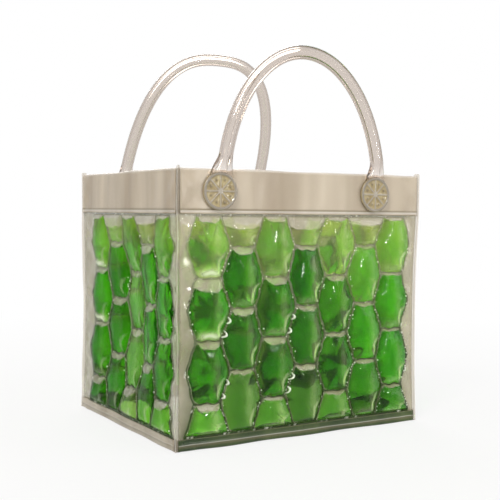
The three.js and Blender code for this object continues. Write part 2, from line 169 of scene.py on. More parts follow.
# Height of the air pocket at the top of the front wall's cells, by column and row
FRONT_AIR = {
    (0, 1): 8.0, (0, 2): 4.2, (0, 3): 4.0, (1, 1): 4.5, (1, 2): 3.8, (1, 3): 2.0,
    (2, 1): 4.4, (2, 2): 4.0, (2, 3): 1.6, (3, 2): 2.6, (3, 3): 3.0, (4, 1): 3.6,
    (4, 2): 1.8, (5, 1): 1.5, (6, 1): 1.0, (6, 2): 1.0, (6, 3): 1.2,
}
PLAIN_AIR, OTHER_AIR, UPPER_AIR, HALF_AIR = 2.0, (1.5, 6.0), (2.0, 4.0), (5.0, 9.0)
# Painted shade in the front wall's columns, darkest left of the middle
FRONT_PAINTED_SHADE = {1: 0.55, 2: 0.3, 3: 0.6, 4: 0.25, 5: -0.05, 6: -0.2}
# Extra clearness of the front wall's thinly filled cells, by column and row
FRONT_LIGHT = {(0, 0): 0.35, (4, 0): 0.55, (5, 1): 0.4, (6, 0): 0.35}
THIN_CELL = (5, 1)
# Air pockets: height from which they are wide, share of the upper weld they take, distance from it
WIDE_POCKET, WIDE_SHARE, ROUND_SHARE, POCKET_DROP = 6, 0.95, 0.82, 0.35
# Painted caustic light gathered in a cell, from -1 to 1 across and up it
STREAK_SIDE, STREAK_WIDTH = 0.3, 0.17
HOOK_SIDE, HOOK_RISE, HOOK_CURVE, HOOK_WIDTH, HOOK_LENGTH = 0.45, -0.55, 2.6, 0.075, 0.3
FOOT_RISE, FOOT_WIDTH, FOOT_LENGTH = -0.82, 0.12, 0.85


class Cell:
    """One hexagonal cell, or half of one, between weld lines."""

    def __init__(self, wall, column, row, top, bottom, cut_top, cut_bottom):
        self.wall, self.column, self.row = wall, column, row
        self.top, self.bottom, self.cut_top, self.cut_bottom = top, bottom, cut_top, cut_bottom
        whole = not (cut_top or cut_bottom)
        centre = (column - (wall.columns - 1) / 2) * wall.pitch + wall.shift
        middle = (top + bottom) / 2
        lower = wall.point_half if cut_bottom else wall.flat_half
        self.upper = wall.point_half if cut_top else wall.flat_half
        corners = [(centre - lower, bottom), (centre + lower, bottom)]
        corners += [(centre + wall.point_half, middle)] if whole else []
        corners += [(centre + self.upper, top), (centre - self.upper, top)]
        corners += [(centre - wall.point_half, middle)] if whole else []
        self.corners = np.array(corners)
        self.ends = np.roll(self.corners, -1, axis=0)
        self.centre = np.array([centre, middle])
        run = self.ends - self.corners
        self.along = run / np.linalg.norm(run, axis=1)[:, None]
        self.inward = np.stack([-self.along[:, 1], self.along[:, 0]], axis=1)
        self.slanted = np.abs(self.along[:, 1]) > 0.1
        self.weld_half = np.where(self.slanted, SLANT_WELD_HALF, FLAT_WELD_HALF)
        self.phase = wall.rng.uniform(*PHASES, len(corners))
        self.gel_amount()
        self.full_depth = self.depth(self.centre[None])[0]

    def gel_amount(self):
        """Fill, air, gel thickness at top and bottom, paleness, painted shade, clearness and painted light.
        The upper cells are slack.
        """
        rng, spot, front = self.wall.rng, (self.column, self.row), self.wall.name == "front"
        self.fill = rng.uniform(0.86, 1.0)
        self.air = FRONT_AIR.get(spot, PLAIN_AIR) if front else rng.uniform(*OTHER_AIR)
        self.thick = (0.88, 1.0)
        self.pale = rng.uniform(0.0, 0.18)
        # Strength of the painted caustic in the cell, and of the painted highlight at its foot
        self.shine = rng.uniform(0.55, 1.0) * (0.5 if self.wall.fold else 1.0)
        self.foot_shine = rng.choice([0.0, 0.0, 0.0, 0.2]) if self.column or self.row > 1 else 1.0
        if self.wall.fold and self.column == self.wall.columns // 2:
            self.thick, self.pale = (0.4, 0.6), 0.5
        # Painted shade: darker cells in some front columns, and darker low down
        self.painted_shade = FRONT_PAINTED_SHADE.get(self.column, 0.0) if front and self.row else 0.0
        self.painted_shade = max(0.0, self.painted_shade + 0.3 * low_down(self.centre[1]) ** 2)
        self.light = FRONT_LIGHT.get(spot, 0.0) if front else 0.0
        # Half cells at the foot: painted shade, and a weaker painted highlight at the foot
        if self.cut_bottom:
            self.painted_shade, self.foot_shine = max(self.painted_shade, 0.3), 0.3
        if front and spot == THIN_CELL:
            self.thick, self.pale = (0.35, 0.8), 0.4
        if self.row == 0:
            full = self.column == self.wall.columns - 1 or self.wall.fold
            self.fill = 0.85 if full else rng.uniform(0.55, 0.75)
            self.air = rng.uniform(*UPPER_AIR)
            self.thick = (0.3, 0.7) if full else (0.25, 0.8)
            self.pale = 0.45 if full else rng.uniform(0.5, 0.7)
            if self.cut_top:
                self.fill, self.thick, self.pale = 0.5, (0.05, 0.2), 1.0
                self.air = rng.uniform(*HALF_AIR)

    def gaps(self, points):
        """Distance of each point from each weld border."""
        return np.einsum("pek,ek->pe", points[:, None] - self.corners, self.inward) - self.weld_half

    def depth(self, points):
        """Smooth distance from the weld border, 0 on the weld."""
        sharp = 1.6
        return np.clip(-np.log(np.exp(-sharp * self.gaps(points)).sum(axis=1)) / sharp, 0, None)

    def pillow(self, points, bulge):
        """Rise of the film where a full cell bulges so far."""
        t = np.clip(self.depth(points) / self.full_depth, 0, 1)
        return bulge * (0.45 + 0.55 * self.fill) * (1 - (1 - t) ** 2) ** 0.58

    def pucker(self, points):
        """Small gathers of the film along the slanted welds."""
        off = np.clip(self.gaps(points), 0, None)
        arc = np.einsum("pek,ek->pe", points[:, None] - self.corners, self.along)
        near = np.exp(-off / 2.2) * (1 - np.exp(-off / 0.6))
        gather = wave(arc, 4.3, self.phase) * wave(arc, 13, 2 * self.phase)
        return 0.55 * (near * gather * self.slanted).sum(axis=1)

    def outer(self, points):
        return self.pillow(points, self.wall.bulge) + self.pucker(points)

    def inner(self, points):
        return self.pillow(points, INNER_BULGE)

    def rise(self, z):
        """0 at the lower weld and 1 at the upper one."""
        return np.clip((z - self.bottom) / (self.top - self.bottom), 0, 1)

    def meniscus(self, u):
        """Level of the gel under its air: a round bubble or, in slack cells, a wide gap."""
        wide = self.cut_top or self.air > WIDE_POCKET
        share = WIDE_SHARE if wide else ROUND_SHARE
        off = np.clip(np.abs(u - self.centre[0]) / (self.upper * share), 0, 1)
        bowl = 1 - 0.3 * off**2.2 if wide else (1 - off**3) ** (1 / 3)
        scallop = 0.35 * wave(u, 5.6, self.phase[0]) * wave(u, 17, self.phase[1]) * min(1.0, self.air / 2)
        return self.top - FLAT_WELD_HALF - POCKET_DROP - self.air * bowl + scallop

    def caustic(self, points):
        """Painted light gathered by the gel: an upright streak, a hook and a line at the foot."""
        rise, off = 2 * self.rise(points[:, 1]) - 1, points[:, 0] - self.centre[0]
        width = self.wall.flat_half + (self.wall.point_half - self.wall.flat_half) * (1 - np.abs(rise))
        streak = peak(off / width - STREAK_SIDE, STREAK_WIDTH)
        streak = streak * smoothstep(-0.9, -0.2, rise) * smoothstep(0.85, 0.2, rise)
        up = rise - HOOK_RISE
        hook = peak(off / width - HOOK_SIDE - HOOK_CURVE * up**2, HOOK_WIDTH) * peak(up, HOOK_LENGTH, 4)
        foot = peak(rise - FOOT_RISE, FOOT_WIDTH) * peak(off / self.wall.flat_half, FOOT_LENGTH, 4)
        return self.shine * streak, self.shine * hook, self.foot_shine * foot

    def outline(self, spacing):
        """Points along the outline, shared with the neighbouring cells."""
        runs = []
        for a, b in zip(self.corners, self.ends):
            steps = max(2, round(np.linalg.norm(b - a) / spacing))
            runs.append(a + (b - a) * (np.arange(steps) / steps)[:, None])
        return np.concatenate(runs)


def wall_cells(wall):
    """Columns from the left, cells from the top. Every other column starts with a half cell."""
    columns = []
    for column in range(wall.columns):
        cells, top = [], ZONE_TOP
        while top > ZONE_BOTTOM + NEAR:
            first = top == ZONE_TOP
            half = (column % 2 == 1 and first) or top - CELL_HEIGHT < ZONE_BOTTOM - NEAR
            bottom = top - (CELL_HEIGHT / 2 if half else CELL_HEIGHT)
            cells.append(Cell(wall, column, len(cells), top, bottom, half and first, half and not first))
            top = bottom
        columns.append(cells)
    return columns


# Meshes


def sag(points):
    """The soft shell draws in unevenly between hem and band."""
    x, y, z = points[:, 0], points[:, 1], points[:, 2]
    waist = np.sin(math.pi * np.clip(z / (BAG_HEIGHT - BAND_HEIGHT), 0, 1))
    turn = np.arctan2(y, x)
    uneven = 0.004 * np.sin(3 * turn + z / 31 + 0.6) + 0.003 * np.sin(5 * turn - z / 19)
    shrink = 1 - waist * (0.012 + uneven)
    return np.column_stack([x * shrink, y * shrink, z])


def make_piece(name, points, faces, material, slot, nodes=(), attributes=None, body="root", turn_out=True):
    """A smooth piece that rides on a CAD body and stands for CAD nodes."""
    mesh = bpy.data.meshes.new(name)
    mesh.from_pydata((sag(np.asarray(points)) * MM).tolist(), [], faces)
    mesh.validate()
    if turn_out:
        shape = bmesh.new()
        shape.from_mesh(mesh)
        bmesh.ops.recalc_face_normals(shape, faces=shape.faces)
        shape.to_mesh(mesh)
        shape.free()
    mesh.polygons.foreach_set("use_smooth", [True] * len(mesh.polygons))
    for key, values in (attributes or {}).items():
        layer = mesh.attributes.new(key, "FLOAT", "POINT")
        layer.data.foreach_set("value", np.asarray(values, np.float32))
    mesh.materials.append(material)
    piece = bpy.data.objects.new(name, mesh)
    scene.collection.objects.link(piece)
    if body:
        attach(piece, body)
    if nodes:
        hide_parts(*nodes)
    return piece


def thicken(piece, thickness):
    """Gives a layer its thickness, half to each side."""
    solid = piece.modifiers.new("thickness", "SOLIDIFY")
    solid.thickness = thickness * MM
    solid.offset = 0.0


def ring_faces(rows, count, closed=True):
    """Quads between rows of as many points each."""
    faces = []
    for a in range(0, (rows - 1) * count, count):
        for i in range(count if closed else count - 1):
            j = (i + 1) % count
            faces.append((a + i, a + j, a + count + j, a + count + i))
    return faces


def capped_faces(rows, count):
    """Quads between rings, and a fan at each end to the two points after them."""
    end, last = rows * count, (rows - 1) * count
    faces = [f[::-1] for f in ring_faces(rows, count)]
    faces += [(i, (i + 1) % count, end) for i in range(count)]
    return faces + [(last + (i + 1) % count, last + i, end + 1) for i in range(count)]


def strip_faces(rows, count):
    """Quads round a closed section along a strip, and a cap at each end."""
    last = (rows - 1) * count
    return [*ring_faces(rows, count), tuple(range(count))[::-1], tuple(range(last, last + count))]


def joined(parts):
    """One set of points and faces from several."""
    points, faces, start = [], [], 0
    for part, part_faces in parts:
        points.append(part)
        faces += [tuple(i + start for i in f) for f in part_faces]
        start += len(part)
    return np.concatenate(points), faces


# Materials


class Nodes:
    """Builds the nodes of a material or a world."""

    def __init__(self, owner, output):
        owner.use_nodes = True
        self.owner, self.tree = owner, owner.node_tree
        self.tree.nodes.clear()
        self.output = self.add(output)

    def put(self, value, socket):
        """Links an output to a socket, or sets a plain value on it."""
        if hasattr(value, "is_output"):
            self.tree.links.new(value, socket)
        else:
            socket.default_value = value

    def add(self, kind, sockets=None, **settings):
        """A new node, with values or links for its sockets."""
        node = self.tree.nodes.new(kind)
        for key, value in settings.items():
            setattr(node, key, value)
        for key, value in (sockets or {}).items():
            self.put(value, node.inputs[key])
        return node

    def math(self, operation, a, b, clamp=False):
        return self.add("ShaderNodeMath", {0: a, 1: b}, operation=operation, use_clamp=clamp).outputs[0]

    def noise(self, scale, detail=3.0, stretch=(1, 1, 1)):
        place = self.add("ShaderNodeTexCoord").outputs["Object"]
        place = self.add("ShaderNodeMapping", {"Vector": place, "Scale": stretch}).outputs["Vector"]
        sockets = {"Vector": place, "Scale": scale, "Detail": detail}
        return self.add("ShaderNodeTexNoise", sockets).outputs["Fac"]

    def ramp(self, fac, *stops):
        node = self.add("ShaderNodeValToRGB", {"Fac": fac})
        while len(node.color_ramp.elements) < len(stops):
            node.color_ramp.elements.new(0.5)
        for element, (position, colour) in zip(node.color_ramp.elements, stops):
            element.position = position
            element.color = (*colour, 1)
        return node.outputs["Color"]

    def span(self, fac, low, high, to_low, to_high):
        """Maps one range to another."""
        keys = ("Value", "From Min", "From Max", "To Min", "To Max")
        values = (fac, low, high, to_low, to_high)
        return self.add("ShaderNodeMapRange", dict(zip(keys, values))).outputs["Result"]

    def mix(self, fac, first, second):
        """Blends a colour output towards a plain colour."""
        sockets = {"Factor": fac, 6: first, 7: (*second, 1)}
        return self.add("ShaderNodeMix", sockets, data_type="RGBA").outputs[2]

    def attribute(self, name):
        return self.add("ShaderNodeAttribute", attribute_name=name).outputs["Fac"]

    def bump(self, height, strength, distance):
        sockets = {"Height": height, "Strength": strength, "Distance": distance}
        return self.add("ShaderNodeBump", sockets).outputs["Normal"]

    def blend(self, fac, first, second):
        """Mixes two shaders."""
        return self.add("ShaderNodeMixShader", {0: fac, 1: first, 2: second}).outputs[0]

    def fill(self, colour, density):
        """Colours the inside of a solid piece."""
        node = self.add("ShaderNodeVolumeAbsorption", {"Color": (*colour, 1), "Density": density})
        self.put(node.outputs[0], self.output.inputs["Volume"])

    def seen(self):
        """1 for rays that show the background, also mirrored or through clear pieces."""
        path = self.add("ShaderNodeLightPath").outputs
        either = self.math("MAXIMUM", path["Is Camera Ray"], path["Is Glossy Ray"])
        return self.math("MAXIMUM", either, path["Is Transmission Ray"])

    def show(self, shader):
        self.put(shader, self.output.inputs["Surface"])
        return self.owner

    def surface(self, lamps_pass=False, **values):
        """The finished material. With lamps_pass, lamps shine through it."""
        sockets = {key.replace("_", " "): value for key, value in values.items()}
        shader = self.add("ShaderNodeBsdfPrincipled", sockets).outputs[0]
        if lamps_pass:
            shadow = self.add("ShaderNodeLightPath").outputs["Is Shadow Ray"]
            shader = self.blend(shadow, shader, self.add("ShaderNodeBsdfTransparent").outputs[0])
        return self.show(shader)


def new_material(name):
    return Nodes(bpy.data.materials.new(name), "ShaderNodeOutputMaterial")


def clear_film(name, veil_land, low, high):
    """Clear film: hazy on the lands, painted shade along the welds, darkest low down, with a painted green
    caustic and painted white glints.
    """
    m = new_material(name)
    haze, line, glow, spark = (m.attribute(key) for key in FILM_ATTRIBUTES)
    cloud, fine, wrinkle = m.noise(38, 4), m.noise(420, 3), m.noise(1, 3, (150, 150, 45))
    base = m.ramp(cloud, (0.25, low), (0.75, high))
    # Painted shade: dark green where line is set
    base = m.mix(m.span(line, 0, 0.7, 0, 1), base, (0.035, 0.075, 0.01))
    # Painted caustic light in green, and painted white glints
    base = m.mix(glow, base, (0.5, 0.96, 0.08))
    base = m.mix(spark, base, (0.96, 0.97, 0.86))
    slant = m.add("ShaderNodeLayerWeight", {"Blend": 0.2}).outputs["Fresnel"]
    veil = m.math("MULTIPLY", m.span(haze, 0, 1, 0.001, veil_land), m.span(cloud, 0.2, 0.8, 0.75, 1.25))
    for part, share in ((slant, 0.02), (line, 0.9), (glow, 0.6), (spark, 0.65)):
        veil = m.math("ADD", veil, m.math("MULTIPLY", part, share), clamp=True)
    return m.surface(
        Base_Color=base, Alpha=veil, IOR=1.5, Coat_Roughness=0.04,
        Roughness=m.span(fine, 0.3, 0.7, 0.05, 0.16),
        Specular_IOR_Level=m.span(line, 0, 1, 0.5, 0.1),
        Coat_Weight=m.span(line, 0, 1, 1.0, 0.05),
        Normal=m.bump(m.math("ADD", wrinkle, m.math("MULTIPLY", fine, 0.15)), 0.5, 0.0015),
    )


def frosted_vinyl(name, low, high, alpha):
    """Frosted film with upright streaks, dark weld lines and bright edges painted as highlights."""
    m = new_material(name)
    line, glow = m.attribute("line"), m.attribute("glow")
    streak, fine, wrinkle = m.noise(1, 2, (42, 42, 5)), m.noise(1600, 2), m.noise(1, 2, (90, 90, 30))
    base = m.mix(line, m.ramp(streak, (0.3, low), (0.7, high)), (0.2, 0.17, 0.1))
    # Painted highlight where glow is set
    base = m.mix(glow, base, (0.95, 0.9, 0.84))
    veil = m.span(streak, 0.3, 0.7, alpha - 0.06, alpha + 0.06)
    return m.surface(
        Base_Color=base, IOR=1.45, Normal=m.bump(wrinkle, 0.3, 0.0012),
        Roughness=m.span(fine, 0.3, 0.7, 0.26, 0.36),
        Alpha=m.math("ADD", veil, m.math("MULTIPLY", line, 0.25), clamp=True),
    )


def green_gel(name, ior, coat):
    """Clear green gel: painted shade along the welds, pale in slack cells, painted caustic light."""
    m = new_material(name)
    streak, fine = m.noise(1, 3, (110, 110, 22)), m.noise(90, 3)
    base = m.ramp(streak, (0.3, (0.16, 0.48, 0.03)), (0.52, (0.3, 0.7, 0.08)), (0.75, (0.5, 0.88, 0.16)))
    # Painted shade along the welds and over the shaded cells
    base = m.mix(m.attribute("rim"), base, (0.02, 0.13, 0.004))
    base = m.mix(m.attribute("pale"), base, (0.6, 0.62, 0.24))
    # Painted caustic light, and the clearness of thinly filled cells
    base = m.mix(m.attribute("glow"), base, (1.0, 1.0, 0.62))
    m.fill((0.34, 0.8, 0.04), 130)
    return m.surface(
        lamps_pass=True, Base_Color=base, Roughness=0.1, IOR=ior, Transmission_Weight=1.0,
        Coat_Weight=coat, Coat_Roughness=0.02, Coat_IOR=1.3, Normal=m.bump(fine, 0.12, 0.002),
    )


def clear_tube(name):
    """Clear hollow vinyl tube, a little beige in its thickness."""
    m = new_material(name)
    fine = m.noise(160, 3)
    m.fill((0.52, 0.42, 0.34), 160)
    return m.surface(
        lamps_pass=True, Base_Color=(0.98, 0.96, 0.94, 1), IOR=1.4, Transmission_Weight=1.0,
        Roughness=m.span(fine, 0.3, 0.7, 0.03, 0.08), Normal=m.bump(fine, 0.03, 0.001),
    )


def embossed_disc(name):
    """Weld disc: greyish clear rim and spokes, their lightness partly their own and partly a painted
    highlight, yellowish hollows, dark dots.
    """
    m = new_material(name)
    cloud, fine = m.noise(260, 3), m.noise(700, 3)
    base = m.ramp(cloud, (0.3, (0.3, 0.22, 0.08)), (0.7, (0.5, 0.4, 0.18)))
    base = m.mix(m.attribute("glow"), base, (0.46, 0.42, 0.36))
    base = m.mix(m.attribute("line"), base, (0.14, 0.11, 0.06))
    return m.surface(
        Base_Color=base, Alpha=0.8, IOR=1.5, Coat_Weight=0.8, Coat_Roughness=0.05,
        Roughness=m.span(fine, 0.3, 0.7, 0.12, 0.26), Normal=m.bump(fine, 0.2, 0.0005),
    )


def air_bead(name):
    """Tiny bubbles along the welds, white as painted glints, and hooks as painted highlights."""
    m = new_material(name)
    base = m.ramp(m.noise(900, 2), (0.3, (0.75, 0.82, 0.66)), (0.7, (0.98, 0.98, 0.94)))
    return m.surface(Base_Color=base, Roughness=0.06, IOR=1.5, Coat_Weight=1.0)


FILM_ATTRIBUTES = ("haze", "line", "glow", "spark")
FILM_OUT = clear_film("clear_vinyl_outer", 0.38, (0.46, 0.4, 0.26), (0.72, 0.65, 0.5))
# Side walls: a darker copy of the outer film as painted shade, and hazier
FILM_SIDE_SHADED = clear_film("clear_vinyl_side", 0.5, (0.34, 0.3, 0.2), (0.54, 0.49, 0.37))
FILM_IN = clear_film("clear_vinyl_inner", 0.12, (0.6, 0.54, 0.4), (0.84, 0.78, 0.66))
BAND = frosted_vinyl("frosted_vinyl_band", (0.52, 0.43, 0.325), (0.74, 0.65, 0.52), 0.66)
HEM = frosted_vinyl("frosted_vinyl_hem", (0.5, 0.43, 0.34), (0.68, 0.61, 0.5), 0.66)
# Front and back hems: a dark olive copy of the hem as painted shade
HEM_SHADED = frosted_vinyl("frosted_vinyl_hem_olive", (0.02, 0.045, 0.01), (0.075, 0.11, 0.03), 0.87)
SEAM = frosted_vinyl("frosted_vinyl_seam", (0.55, 0.48, 0.39), (0.8, 0.73, 0.63), 0.38)
GEL = green_gel("green_gel", 1.16, 0.5)
GEL_SIDE = green_gel("green_gel_side", 1.08, 0.06)
TUBE = clear_tube("clear_tube")
DISC = embossed_disc("embossed_disc")
BEAD = air_bead("air_bead")


# Walls: outer and inner film, gel, bubbles

# Films: spacing of points along the welds, and rings as shares of the way out from a cell's centre
OUTER_SPACING, INNER_SPACING = 1.5, 2.6
OUTER_SHARES = (0.982, 0.968, 0.945, 0.9, 0.85, 0.79, 0.73, 0.67, 0.61, 0.54, 0.45, 0.34, 0.18)
INNER_SHARES = (0.96, 0.9, 0.72, 0.4)
MARGIN_STEPS, ABOVE_STEPS, BELOW_STEPS = 6, 8, 3
# Gel: spacing and rings of its points, size within the cell, notches, clearance from the films
GEL_SPACING, GEL_SIZE, GEL_NOTCH = 1.2, 0.988, 0.045
GEL_FRONT = (0.2, 0.42, 0.62, 0.78, 0.88, 0.94, 0.98, 1.0)
GEL_BACK = (1.0, 0.92, 0.75, 0.45)
FRONT_CLEARANCE, BACK_CLEARANCE, GEL_LEAST = 0.3, 0.2, 0.06
FAR = 50
# Bubbles, white as painted glints, and hooks as painted highlights: crowding on the two sides of a weld,
# spacing, places of a pair of hooks
RIGHT_CROWDS, LEFT_CROWDS, GUSSET_CROWD = [0.1, 0.35, 0.9], [0.05, 0.2, 0.5], 0.08
BEAD_SPACING, BEAD_SIZES, BEAD_SHAPE = 2.3, (0.16, 0.46), np.array([1, 1, 1.25])
HOOK_PAIR, HOOK_CROWD, HOOK_CHANCE = (0.2, 0.62), 0.4, 0.2


def add_film(wall, columns, name, height, level, spacing, shares, material):
    """One film of a wall: a pillow over each cell, and flat lands round them."""
    points, faces, known, values = [], [], {}, []
    rng = np.random.default_rng(700 + wall.columns)

    def add(u, z, n, haze, line, glow=0.0, spark=0.0):
        points.append((u, n, z))
        values.append((haze, line, glow, spark))
        return len(points) - 1

    def shared(u, z, haze=1.0, line=0.0, spark=0.0):
        """A point on the weld plane, made once."""
        key = (round(u, 2), round(z, 2))
        if key not in known:
            known[key] = add(u, z, level, haze, line, 0.0, spark)
        return known[key]

    def quads(first, second):
        for i in range(len(first) - 1):
            faces.append((first[i], first[i + 1], second[i + 1], second[i]))

    for cell in sum(columns, []):
        outline = cell.outline(spacing)
        count = len(outline)
        # Painted glints at random along the welds, and painted shade on the welds, darker low down
        glints = np.clip(rng.normal(-0.8, 0.75, count), 0, 0.9)
        ring = [shared(u, z, 0.2, 0.25 + 0.7 * low_down(z), glint) for (u, z), glint in zip(outline, glints)]
        slack = np.full(count, 0.22 * max(0.0, cell.pale - 0.3))
        for share in shares:
            flat = cell.centre + (outline - cell.centre) * share
            depth, low = cell.depth(flat), low_down(flat[:, 1])
            pocket = smoothstep(-0.3, 0.5, flat[:, 1] - cell.meniscus(flat[:, 0]))
            haze = np.maximum.reduce([0.45 * (1 - smoothstep(0.0, 0.45, depth)), 0.75 * pocket, slack])
            # Painted shade at the cell's edge and in the air pockets, darker low down
            line = np.maximum((0.3 + 0.5 * low) * peak(depth, 0.18), (0.06 + 0.14 * low) * pocket)
            streak, hook, foot = cell.caustic(flat)
            # Painted caustic light and painted glints, kept out of the air pockets
            glow = (0.12 * streak + 0.9 * hook + 0.5 * foot) * (1 - pocket)
            spark = (0.15 * hook + 0.7 * foot**2) * (1 - pocket)
            outside = ring
            ring = [add(*v) for v in zip(*flat.T, level + height(cell, flat), haze, line, glow, spark)]
            quads([*outside, outside[0]], [*ring, ring[0]])
        top = add(*cell.centre, level + height(cell, cell.centre[None])[0], 0.0, 0.0)
        faces.extend((ring[i], ring[(i + 1) % count], top) for i in range(count))

    def margin(column, side):
        """The land beside the outermost column."""
        border = {}
        for cell in column:
            for u, z in cell.outline(spacing):
                key = round(z, 2)
                if (u - cell.centre[0]) * side > 0 and (key not in border or (u - border[key][0]) * side > 0):
                    border[key] = (u, z)
        rows = []
        for _, (u, z) in sorted(border.items(), reverse=True):
            # Painted green shade on the left margin of the front and back walls, darker low down
            margin_shade = 0.0 if wall.fold or side > 0 else 0.6 * low_down(z)
            parts = np.arange(1, MARGIN_STEPS + 1) / MARGIN_STEPS
            land = [shared(u + (side * wall.edge - u) * k, z, 1.0, margin_shade * (1 - 0.6 * k)) for k in parts]
            rows.append([shared(u, z), *land])
        for above, below in zip(rows, rows[1:]):
            quads(*((below, above) if side > 0 else (above, below)))

    margin(columns[0], -1)
    margin(columns[-1], 1)
    for z_from, z_to, steps in ((ZONE_TOP, FILM_TOP, ABOVE_STEPS), (ZONE_BOTTOM, FILM_BOTTOM, BELOW_STEPS)):
        row = [i for (_, z), i in known.items() if z == round(z_from, 2)]
        row = previous = sorted(row, key=lambda i: points[i][0])
        for k in range(1, steps + 1):
            z = z_from + (z_to - z_from) * k / steps
            current = [shared(points[i][0], z) for i in row]
            quads(*((previous, current) if z_to > z_from else (current, previous)))
            previous = current
    node, placed = f"{wall.name}_{name}", wall.place(*np.array(points).T)
    attributes = dict(zip(FILM_ATTRIBUTES, np.array(values).T))
    thicken(make_piece(f"{node}_skin", placed, faces, material, "clear_vinyl", [node], attributes), FILM_SEEN)


def gel_cell(cell):
    """Points (u, n, z), faces and attributes of the gel in a cell."""
    outline = cell.outline(GEL_SPACING)
    arc = GEL_SPACING * np.arange(len(outline))
    notch = np.clip(wave(arc, 5.3, cell.phase[2]) * wave(arc, 19, cell.phase[3]), 0, 1)
    outline = cell.centre + (outline - cell.centre) * (GEL_SIZE - GEL_NOTCH * notch)[:, None]
    outline = (np.roll(outline, 1, axis=0) + 2 * outline + np.roll(outline, -1, axis=0)) / 4
    outline[:, 1] = np.minimum(outline[:, 1], cell.meniscus(outline[:, 0]))
    middle = np.array([cell.centre[0], (outline[:, 1].max() + outline[:, 1].min()) / 2])
    count = len(outline)
    rows = []
    for number, share in enumerate(GEL_FRONT + GEL_BACK):
        ring = middle + (outline - middle) * share
        n = np.maximum(FILM_INSIDE + cell.outer(ring) - FRONT_CLEARANCE, GEL_LEAST)
        if number >= len(GEL_FRONT):
            back = np.minimum(-FILM_INSIDE - cell.inner(ring) + BACK_CLEARANCE, -GEL_LEAST)
            n = n - (n - back) * (cell.thick[1] + (cell.thick[0] - cell.thick[1]) * cell.rise(ring[:, 1]))
        rows.append(np.column_stack([ring[:, 0], n, ring[:, 1]]))
    crown = FILM_INSIDE + cell.outer(middle[None])[0] - FRONT_CLEARANCE
    pit = crown - (crown + FILM_INSIDE + cell.inner(middle[None])[0]) * sum(cell.thick) / 2
    points = np.vstack([*rows, [middle[0], crown, middle[1]], [middle[0], pit, middle[1]]])
    faces = capped_faces(len(rows), count)
    flat = points[:, [0, 2]]
    gaps = np.clip(cell.gaps(flat), 0, None)
    # Painted shade: dark along the slanted welds, wider on each cell's left side
    way = cell.slanted * np.sign(cell.inward[:, 0])
    left, right = (np.where(way == side, gaps, FAR).min(axis=1) for side in (1, -1))
    streak, hook, foot = cell.caustic(flat)
    values = {
        "pale": cell.pale * (0.55 + 0.45 * cell.rise(flat[:, 1])),
        "rim": np.maximum(np.maximum(np.exp(-left / 4.5), 0.85 * np.exp(-right / 2.0)), cell.painted_shade),
        # glow: painted caustic light, and the clearness of thinly filled cells
        "glow": np.clip(0.6 * streak + 0.95 * hook + foot + cell.light, 0, 1),
    }
    return points, faces, values


def add_gel(wall, columns):
    for number, cells in enumerate(columns, start=1):
        parts = [gel_cell(cell) for cell in cells]
        points, faces = joined((points, faces) for points, faces, _ in parts)
        values = {key: np.concatenate([v[key] for _, _, v in parts]) for key in ("pale", "rim", "glow")}
        name, material = f"{wall.name}_gel", GEL_SIDE if wall.fold else GEL
        points, nodes = wall.place(*points.T), [f"{name}_column_{number}"]
        name = f"{name}_{number}"
        piece = make_piece(name, points, faces, material, "green_gel", nodes, values, turn_out=False)


def bead_mesh():
    """A unit ball: points and faces."""
    rows, count = 4, 8
    polar = np.repeat(math.pi * np.arange(1, rows + 1) / (rows + 1), count)
    turn = np.tile(TAU * np.arange(count) / count, rows)
    ring = np.column_stack([np.sin(polar) * np.cos(turn), np.sin(polar) * np.sin(turn), np.cos(polar)])
    return np.vstack([ring, [0, 0, 1], [0, 0, -1]]), capped_faces(rows, count)


def hook_mesh(radius, span, tilt):
    """A thin tapered arc in the wall: points (u, n, z) and faces."""
    steps, sides = 12, 6
    part = np.repeat(np.arange(steps + 1) / steps, sides)
    ring = np.tile(TAU * np.arange(sides) / sides, steps + 1)
    turn = tilt + span * (part - 0.5)
    thick = 0.12 + 0.43 * np.sin(math.pi * part)
    out = radius + thick * np.cos(ring)
    points = np.column_stack([out * np.cos(turn), thick * np.sin(ring), out * np.sin(turn)])
    return points, strip_faces(steps + 1, sides)


